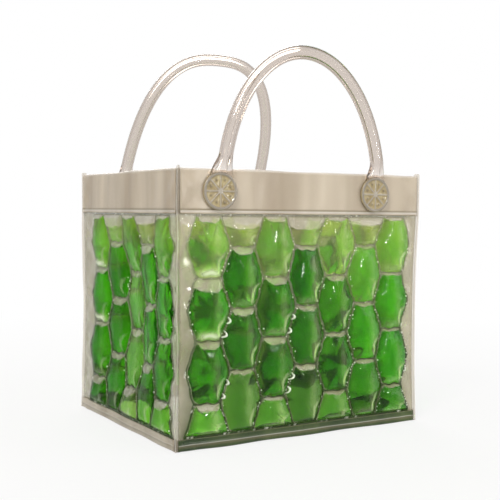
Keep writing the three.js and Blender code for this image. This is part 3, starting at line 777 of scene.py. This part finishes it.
def add_beads(wall, columns):
    """Bubbles along the slanted welds, most low down, white as painted glints, and hooks as painted
    highlights.
    """
    ball, ball_faces = bead_mesh()
    parts = []
    rng = np.random.default_rng(500 + len(wall.name))
    cells = sum(columns, [])
    for cell in cells:
        for edge in np.flatnonzero(cell.slanted):
            corner, along, inward = cell.corners[edge], cell.along[edge], cell.inward[edge]
            length = np.linalg.norm(cell.ends[edge] - corner)
            right_side = inward[0] < 0
            crowd = rng.choice(RIGHT_CROWDS if right_side else LEFT_CROWDS)
            crowd = GUSSET_CROWD if wall.fold else crowd * (0.25 + 0.75 * low_down(cell.centre[1]))
            paired = right_side and inward[1] > 0 and cell.column in (0, 2) and cell.row in (1, 2)
            single = crowd > HOOK_CROWD and right_side and rng.uniform() < HOOK_CHANCE
            single = (rng.uniform(0.25, 0.75),) if single else ()
            # Hooks: arcs over the film, painted highlights
            for share in () if wall.fold else HOOK_PAIR if paired else single:
                spot = corner + along * length * share + inward * 0.8
                tilt = math.atan2(-inward[1], -inward[0]) + rng.uniform(-0.5, 0.5)
                hook, hook_faces = hook_mesh(rng.uniform(1.7, 2.4), rng.uniform(2.6, 3.7), tilt)
                flat = hook[:, [0, 2]] + spot
                n = FILM_OUTSIDE + 0.1 + np.max([c.outer(flat) for c in cells], axis=0) + hook[:, 1]
                parts.append((wall.place(flat[:, 0], n, flat[:, 1]), hook_faces))
            for arc in np.arange(2.2, length - 2.0, BEAD_SPACING):
                if rng.uniform() > crowd:
                    continue
                size = rng.uniform(*BEAD_SIZES)
                spot = corner + along * (arc + rng.uniform(-0.5, 0.5))
                spot = spot + inward * (SLANT_WELD_HALF + rng.uniform(0.3, 1.8))
                n = FILM_OUTSIDE + cell.outer(spot[None])[0] - 0.25
                parts.append((wall.place(spot[0], n, spot[1]) + ball * size * BEAD_SHAPE, ball_faces))
    make_piece(f"{wall.name}_weld_bubbles", *joined(parts), BEAD, "clear_vinyl")


def closed_strip(wall, section, steps, name, material, node, line, glow):
    """A closed section (n, z) carried along a wall, with lines and glow by height."""
    us = np.linspace(-wall.edge, wall.edge, steps + 1)
    rows = [section(u) for u in us]
    count = len(rows[0])
    points = np.concatenate([wall.place(u, *row.T) for u, row in zip(us, rows)])
    z = np.concatenate(rows)[:, 1]
    values = {"line": line(z), "glow": glow(z)}
    name, nodes = f"{wall.name}_{name}", [f"{wall.name}_{node}"]
    make_piece(name, points, strip_faces(len(us), count), material, "frosted_vinyl", nodes, values)


def upright(n, z):
    """Section points at one distance from the weld plane."""
    return np.column_stack([np.full(len(z), n), z])


BAND_STEPS, HEM_STEPS = 160, 72
# Heights of the band's two ribs over its foot, and heights and relief of the hem's outside
BAND_RIBS, RIB_RELIEF = np.array([0, 0.3, 0.8, 1.2, 2.0, 2.4, 3.0]), 0.3
HEM_LEVELS = np.array([0.7, 1.6, 3.2, 3.7, 4.2, 4.7, 5.2, 6.6, 7.4, HEM_HEIGHT])
HEM_RELIEF = np.array([0, 0, 0, 0.22, 0.3, 0.22, 0, 0, 0.2, 0.1])


def add_band(wall):
    """The band: folded over the upper edges of the films, with a ribbed weld at its foot."""
    foot = BAG_HEIGHT - BAND_HEIGHT
    phase = wall.rng.uniform(*PHASES, 3)

    def section(u):
        off = wall.reach - abs(u)
        sway = 0.5 * math.sin(u / 17 + phase[0]) + 0.35 * math.sin(u / 8.3 + phase[1])
        top = BAG_HEIGHT - 0.3 + 0.5 * sway * smoothstep(0, 20, off)
        z_out = np.concatenate([foot + BAND_RIBS, np.linspace(foot + 4, top - 2, 14)])
        up = z_out - foot
        rib = np.zeros_like(z_out)
        rib[[1, 2, 4, 5]] = RIB_RELIEF
        curve = 0.35 * np.sin(up / 9 + phase[2] + u / 40) * smoothstep(0, 5, up)
        pleat = 0.4 * max(0.0, math.sin(u / 10.5 + phase[0])) ** 5
        pleat -= 0.3 * max(0.0, math.sin(u / 6.7 + phase[1])) ** 7
        pleat *= smoothstep(0, 12, off)
        rise = smoothstep(4, 12, up) * (1 - 0.5 * smoothstep(18, 27, up))
        outer = np.column_stack([BAND_OUTSIDE + rib + 0.25 * curve + pleat * rise, z_out])
        turn = np.linspace(0, math.pi, 9)
        fold = np.column_stack([BAND_OUTSIDE * np.cos(turn), top - 1.5 + 1.5 * np.sin(turn)])
        inner = upright(-BAND_OUTSIDE, np.linspace(top - 2, foot, 12))
        inside_up = upright(-LEAF_INSIDE, np.linspace(foot, top - 2.2, 8))
        back = np.column_stack([LEAF_INSIDE * np.cos(turn), top - 2.1 + 1.2 * np.sin(turn)])[::-1]
        inside_down = upright(LEAF_INSIDE, np.linspace(top - 2.2, foot, 8))
        return np.concatenate([outer, fold, inner, inside_up, back, inside_down])

    def line(z):
        return ((np.abs(z - foot - 0.1) < 0.15) | (np.abs(z - foot - 2.7) < 0.35)) * 0.8

    # Painted highlight along the top fold, and a lighter strip between the ribs of the weld
    def glow(z):
        return 0.7 * smoothstep(BAG_HEIGHT - 2.2, BAG_HEIGHT - 0.6, z) + 0.6 * (np.abs(z - foot - 1.6) < 0.7)

    closed_strip(wall, section, BAND_STEPS, "band", BAND, "top_band", line, glow)


def add_hem(wall):
    """The hem: folded round the lower edges of the films and the bottom panel."""
    leaf = FLANGE_INSIDE - WELD_GAP
    inner = leaf - HEM_FILM
    phase = wall.rng.uniform(*PHASES, 2)

    def section(u):
        lift = 0.25 + 0.25 * math.sin(u / 11 + phase[0]) * smoothstep(0, 15, wall.reach - abs(u))
        outer = np.column_stack([BAND_OUTSIDE + HEM_RELIEF, HEM_LEVELS])
        down = upright(LEAF_INSIDE, np.linspace(HEM_HEIGHT, HEM_FILM + lift, 6))
        up = upright(leaf, np.linspace(HEM_FILM + lift, HEM_INNER_HEIGHT, 5))
        back = upright(inner, np.linspace(HEM_INNER_HEIGHT, HEM_LEVELS[0], 5))
        under = np.array([[inner + 0.5, lift], [-0.4, 0.0], [BAND_OUTSIDE - 0.5, lift]])
        return np.concatenate([outer, down, up, back, under])

    def line(z):
        return (np.abs(z - 3.4) < 0.4) * 0.5 + (z > 7.8) * 0.4

    # Painted highlight along the hem's ridge
    def glow(z):
        return 0.45 * (np.abs(z - 4.2) < 0.3)

    # The front and back hems take the painted shade
    material = HEM if wall.fold else HEM_SHADED
    closed_strip(wall, section, HEM_STEPS, "hem", material, "base_hem", line, glow)


for wall in WALLS:
    columns = wall_cells(wall)
    film = FILM_SIDE_SHADED if wall.fold else FILM_OUT
    level = FILM_INSIDE + FILM / 2
    add_film(wall, columns, "outer_film", Cell.outer, level, OUTER_SPACING, OUTER_SHARES, film)
    inner = (lambda cell, points: -cell.inner(points), -level, INNER_SPACING, INNER_SHARES, FILM_IN)
    add_film(wall, columns, "inner_film", *inner)
    add_gel(wall, columns)
    add_beads(wall, columns)
    add_band(wall)
    add_hem(wall)


# Corner seams, bottom panel

# Section of a seam: distance out of the corner and across it. It narrows in steps above the mouth.
SEAM_HALF = [(-1.6, 0.7), (-0.5, 1.1), (0.5, 1.0), (1.0, 0.5), (1.3, 0.3), (1.7, 0.3), (2.0, 0.38)]
SEAM_MIRROR = [(out, -side) for out, side in SEAM_HALF[::-1]]
SEAM_SECTION = np.array([(-2.2, 0.0), *SEAM_HALF, (2.2, 0.0), *SEAM_MIRROR])
# Section points with dark weld lines, and the fin's edge with a painted highlight
SEAM_LINES, SEAM_GLOWS = (4, 12), (7, 8, 9)
SEAM_TOP = {BAG_HEIGHT: 1.0, BAG_HEIGHT + 0.7: 0.9, BAG_HEIGHT + 1.2: 0.7}
CORNERS = {"front_left": (-1, -1), "front_right": (1, -1), "back_right": (1, 1), "back_left": (-1, 1)}


def add_seam(name, x_sign, y_sign):
    """A welded corner: a bead inside it and a flat fin out of it, with a thicker edge."""
    corner = np.array([x_sign * BAG_WIDTH / 2, y_sign * BAG_DEPTH / 2])
    out = np.array([x_sign, y_sign]) / math.sqrt(2)
    side = np.array([-out[1], out[0]])
    phase = np.random.default_rng(900 + 2 * x_sign + y_sign).uniform(*PHASES, 3)
    zs = np.concatenate([[0.2], np.linspace(1.0, BAG_HEIGHT - 1, 92), list(SEAM_TOP)])
    points = []
    for z in zs:
        lean = 0.45 * math.sin(z / 14 + phase[0]) + 0.25 * math.sin(z / 5.7 + phase[1])
        lean *= smoothstep(0, 12, min(z, BAG_HEIGHT - z))
        fin = SEAM_SECTION * SEAM_TOP.get(z, 1.0)
        bent = fin[:, 1] + lean * smoothstep(0.4, 2.0, fin[:, 0])
        flat = corner + fin[:, :1] * out + bent[:, None] * side
        points.append(np.column_stack([flat, np.full(len(flat), z)]))
    count = len(SEAM_SECTION)
    values = {
        "line": np.tile(np.isin(np.arange(count), SEAM_LINES) * 0.6, len(zs)),
        "glow": np.tile(np.isin(np.arange(count), SEAM_GLOWS) * 0.8, len(zs)),
    }
    points, faces, node = np.concatenate(points), strip_faces(len(zs), count), f"{name}_corner_seam"
    make_piece(f"{name}_seam", points, faces, SEAM, "frosted_vinyl", [node], values)


for name, signs in CORNERS.items():
    add_seam(name, *signs)

SHEET_LEVEL, FLANGE_FOOT, SHEET_BEND = 7.5, 1.5, 1.5


def add_floor():
    """The bottom panel: a wavy film with its edge turned down inside the walls."""
    half_x, half_y = BAG_WIDTH / 2 - LEAF_INSIDE, BAG_DEPTH / 2 - LEAF_INSIDE
    runs = []
    for half, steps in ((half_x, 60), (half_y, 50)):
        flat = np.linspace(-half + SHEET_BEND, half - SHEET_BEND, steps)
        runs.append([-half, -half, *flat, half, half])
    x, y = np.meshgrid(*runs)
    rim = np.ones(x.shape, bool)
    rim[1:-1, 1:-1] = False
    inset = np.minimum(half_x - np.abs(x), half_y - np.abs(y))
    sway = 0.5 * np.sin(x / 19 + 0.7) * np.sin(y / 23 + 0.4) + 0.25 * np.sin(x / 7.1 + y / 9.3)
    z = np.where(rim, FLANGE_FOOT, SHEET_LEVEL + sway * smoothstep(2, 14, inset))
    points = np.column_stack([x.ravel(), y.ravel(), z.ravel()])
    values = {"line": 0.5 * (inset.ravel() < 1.0), "haze": np.ones(x.size)}
    faces = ring_faces(*x.shape, closed=False)
    piece = make_piece("bottom_sheet", points, faces, FILM_IN, "clear_vinyl", ["bottom_panel"], values)
    thicken(piece, SHEET_SEEN)


add_floor()


# Handles

TUBE_RADIUS, BORE_RADIUS = 4.75, 2.25
TUBE_SIDES, TUBE_ROW = 40, 1.0
HALF_SPAN = BAG_WIDTH / 2 - 35.7
DISC_LEVEL = BAG_HEIGHT - BAND_HEIGHT / 2
DISC_BACK = 2.25
PIVOT_LEVEL = BAG_HEIGHT + 4.5
HANDLE_OFFSET = BAND_OUTSIDE + 0.8 + TUBE_RADIUS
# Ends of the tube: feet, distance from the weld plane, half width and thickness, curve round the disc.
# The ends round into the tube from 1 mm under the neck's foot to 5 mm over the pivot.
NECK_FOOT, NECK_OUT = DISC_LEVEL + 11.4, DISC_BACK + 1.3
NECK_HALF, NECK_THICK, BORE_HALF, BORE_THICK = 9.6, 1.0, 4.5, 0.15
HUG_RADIUS, HUG_REACH = 11.6, 11


def add_handle(wall, rise, square, lean, shift):
    """A clear hollow tube: an arch whose ends flatten onto the weld discs."""
    start = math.asin(((NECK_FOOT - DISC_LEVEL) / rise) ** (square / 2))
    t = np.linspace(start, math.pi - start, 2000)
    span = np.copysign(np.abs(np.cos(t)) ** (2 / square), np.cos(t)) * HALF_SPAN
    path = np.column_stack([span, DISC_LEVEL + rise * np.abs(np.sin(t)) ** (2 / square)])
    run = np.concatenate([[0], np.cumsum(np.linalg.norm(np.diff(path, axis=0), axis=1))])
    steps = int(run[-1] / TUBE_ROW)
    at = np.linspace(0, run[-1], steps + 1)
    line = np.column_stack([np.interp(at, run, way) for way in path.T])
    turn = TAU * np.arange(TUBE_SIDES) / TUBE_SIDES

    def shell(width_flat, width_round, thick_flat, thick_round):
        """Rings of points from one end to the other, measured from the pivot."""
        rows = []
        for i, (x, z) in enumerate(line):
            along = line[min(i + 1, steps)] - line[max(i - 1, 0)]
            along = along / np.linalg.norm(along)
            ease = smoothstep(NECK_FOOT - 1, PIVOT_LEVEL + 5, z)
            across = (width_flat + (width_round - width_flat) * ease**0.8) * np.cos(turn)
            depth = (thick_flat + (thick_round - thick_flat) * ease) * np.sin(turn)
            hug = HUG_RADIUS - np.sqrt(HUG_RADIUS**2 - np.clip(across, -HUG_REACH, HUG_REACH) ** 2)
            py = HANDLE_OFFSET - (NECK_OUT + (HANDLE_OFFSET - NECK_OUT) * ease) + depth
            pz = z - along[0] * across - PIVOT_LEVEL - (1 - ease) ** 2 * hug
            c, s = math.cos(lean * ease), math.sin(lean * ease)
            rows.append(np.column_stack([x + along[1] * across, py * c + pz * s, pz * c - py * s]))
        return rows

    rows = shell(NECK_HALF, TUBE_RADIUS, NECK_THICK, TUBE_RADIUS)
    rows += shell(BORE_HALF, BORE_RADIUS, BORE_THICK, BORE_RADIUS)[::-1]
    total = len(rows) * TUBE_SIDES
    faces = [tuple(i % total for i in f[::-1]) for f in ring_faces(len(rows) + 1, TUBE_SIDES)]
    x, y, z = np.concatenate(rows).T
    away = wall.offset + HANDLE_OFFSET
    points = wall.turned(x + shift, y - away, z + PIVOT_LEVEL)
    nodes = [f"{wall.name}_{part}" for part in ("handle_tube", "left_handle_neck", "right_handle_neck")]
    piece = make_piece(f"{wall.name}_handle", points, faces, TUBE, "clear_tube", nodes, body=None)
    y = -away * math.cos(wall.angle)
    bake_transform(piece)
    for side_name, side in (("left", -1), ("right", 1)):
        add_disc(wall, side_name, shift + side * HALF_SPAN)


# Weld disc: rings of points, the last two down its rounded edge, and the embossed pattern
DISC_RINGS = np.array(
    [0.9, 1.6, 2.3, 3.2, 4.2, 5.2, 6.2, 7.0, 7.6, 8.2, 8.8]
    + [9.4, 10.0, 10.5, 10.9, 11.3, 11.7, 12.1, 12.5, 12.75, 12.75]
)
DISC_SIDES, SPOKES = 96, 8
FACE_HEIGHT, HUB_HEIGHT, EDGE_TOP, EDGE_FOOT = 1.5, 2.2, 1.6, 0.4
RIM_RADIUS, DOT_RADIUS, FOOT_RADIUS = 11.6, 7.9, 12.3


def add_disc(wall, side_name, u_centre):
    """An embossed weld disc: rim, hub, eight spokes and a dot between each pair."""
    r = np.repeat(DISC_RINGS, DISC_SIDES)
    turn = np.tile(np.arange(DISC_SIDES) / DISC_SIDES, len(DISC_RINGS))
    step = TAU / SPOKES * r
    rim = 1.1 * peak(r - RIM_RADIUS, 0.95, 4)
    hub = 0.7 * smoothstep(2.6, 1.6, r)
    spoke = 0.7 * peak(np.abs((turn * SPOKES + 0.5) % 1 - 0.5) * step, 0.55) * ((r > 1.6) & (r < 10.6))
    dot = 0.8 * peak(np.abs(turn * SPOKES % 1 - 0.5) * step, 0.75) * peak(r - DOT_RADIUS, 0.75)
    raised = np.maximum.reduce([rim, hub, spoke])
    height = FACE_HEIGHT + np.maximum(raised, dot)
    height[-DISC_SIDES:] = EDGE_FOOT
    height[-2 * DISC_SIDES : -DISC_SIDES] = EDGE_TOP
    points = np.column_stack([r * np.cos(TAU * turn), height, r * np.sin(TAU * turn)])
    foot = FOOT_RADIUS / DISC_RINGS[-1]
    bottom = points[-DISC_SIDES:] * [foot, 0, foot]
    points = np.vstack([points, bottom, [0, HUB_HEIGHT, 0], [0, 0, 0]])
    rest = np.ones(DISC_SIDES + 2)
    values = {
        "line": np.concatenate([np.minimum(1.0, np.maximum(1.1 * dot, 0.45 * rim)), 0.0 * rest]),
        # glow: raised rim, hub and spokes lighter, partly a painted highlight
        "glow": np.concatenate([np.minimum(1.0, 1.2 * raised), 0.8 * rest]),
    }
    faces = [f[::-1] for f in capped_faces(len(DISC_RINGS) + 1, DISC_SIDES)]
    x, out, z = points.T
    placed = wall.turned(x + u_centre, -(wall.offset + DISC_BACK + out), z + DISC_LEVEL)
    name = f"{wall.name}_{side_name}"
    make_piece(f"{name}_disc", placed, faces, DISC, "clear_tube", [f"{name}_weld_disc"], values)


add_handle(WALLS[0], rise=95.5, square=2.0, lean=0.0, shift=-6.6)
add_handle(WALLS[2], rise=118.0, square=2.63, lean=math.radians(24), shift=-3.0)


# Studio

LAMP_TARGET = Vector((0, 0, 0.1))


def add_lamp(name, place, size, power, colour):
    """A lamp that looks at the bag and isn't seen by the camera."""
    data = bpy.data.lights.new(name, "AREA")
    data.shape, data.energy, data.color = "RECTANGLE", power, colour
    data.size, data.size_y = size
    lamp = bpy.data.objects.new(name, data)
    lamp.location = place
    lamp.rotation_euler = (LAMP_TARGET - lamp.location).to_track_quat("-Z", "Y").to_euler()
    lamp.visible_camera = False
    scene.collection.objects.link(lamp)


add_lamp("key", (-0.95, -0.8, 1.15), (0.4, 0.3), 11.5, (1.0, 0.95, 0.88))
add_lamp("fill", (1.1, -0.9, 0.6), (0.6, 0.9), 3.2, (1.0, 0.97, 0.93))
add_lamp("rear", (0.4, 1.2, 0.9), (0.8, 0.6), 7, (1.0, 0.98, 0.95))
add_lamp("glint", (0.35, -1.1, 0.25), (0.05, 0.14), 1.6, (1.0, 0.98, 0.95))


AMBIENT = 0.55
world = Nodes(bpy.data.worlds.new("studio"), "ShaderNodeOutputWorld")
strength = world.span(world.seen(), 0, 1, AMBIENT, 1.0)
background = world.add("ShaderNodeBackground", {"Color": (1, 1, 1, 1), "Strength": strength})
scene.world = world.show(background.outputs[0])

bpy.ops.mesh.primitive_grid_add(x_subdivisions=8, y_subdivisions=8, size=8, location=(0, 0, -0.0004))
ground = bpy.context.object
ground.name = "studio_floor"
m = new_material("studio_floor")
place = m.add("ShaderNodeTexCoord").outputs["Object"]
away = m.add("ShaderNodeVectorMath", {0: place}, operation="LENGTH").outputs["Value"]
share = m.math("MULTIPLY", m.seen(), m.span(away, 0.2, 0.75, 0.8, 1.0))
matte = m.add("ShaderNodeBsdfDiffuse", {"Color": (0.82, 0.82, 0.82, 1)})
glow = m.add("ShaderNodeEmission", {"Strength": 1.0})
ground.data.materials.append(m.show(m.blend(share, matte.outputs[0], glow.outputs[0])))

# Camera, fitted to the corners of the bag in the photo
AZIMUTH, PITCH, ROLL = (math.radians(a) for a in (31.097, 2.292, 0.571))
camera_data = bpy.data.cameras.new("camera")
camera_data.sensor_width, camera_data.lens = 36.0, 67.29
camera_data.clip_start, camera_data.clip_end = 0.01, 50.0
camera = bpy.data.objects.new("camera", camera_data)
scene.collection.objects.link(camera)
level = Matrix.Rotation(-AZIMUTH, 4, "Z") @ Matrix.Rotation(math.pi / 2 - PITCH, 4, "X")
place = Matrix.Translation((-0.3703, -0.6208, 0.1561))
camera.matrix_world = place @ level @ Matrix.Rotation(ROLL, 4, "Z")
scene.camera = camera

scene.view_settings.view_transform = "Standard"
scene.cycles.max_bounces = 24
scene.cycles.transmission_bounces = 20
scene.cycles.transparent_max_bounces = 48
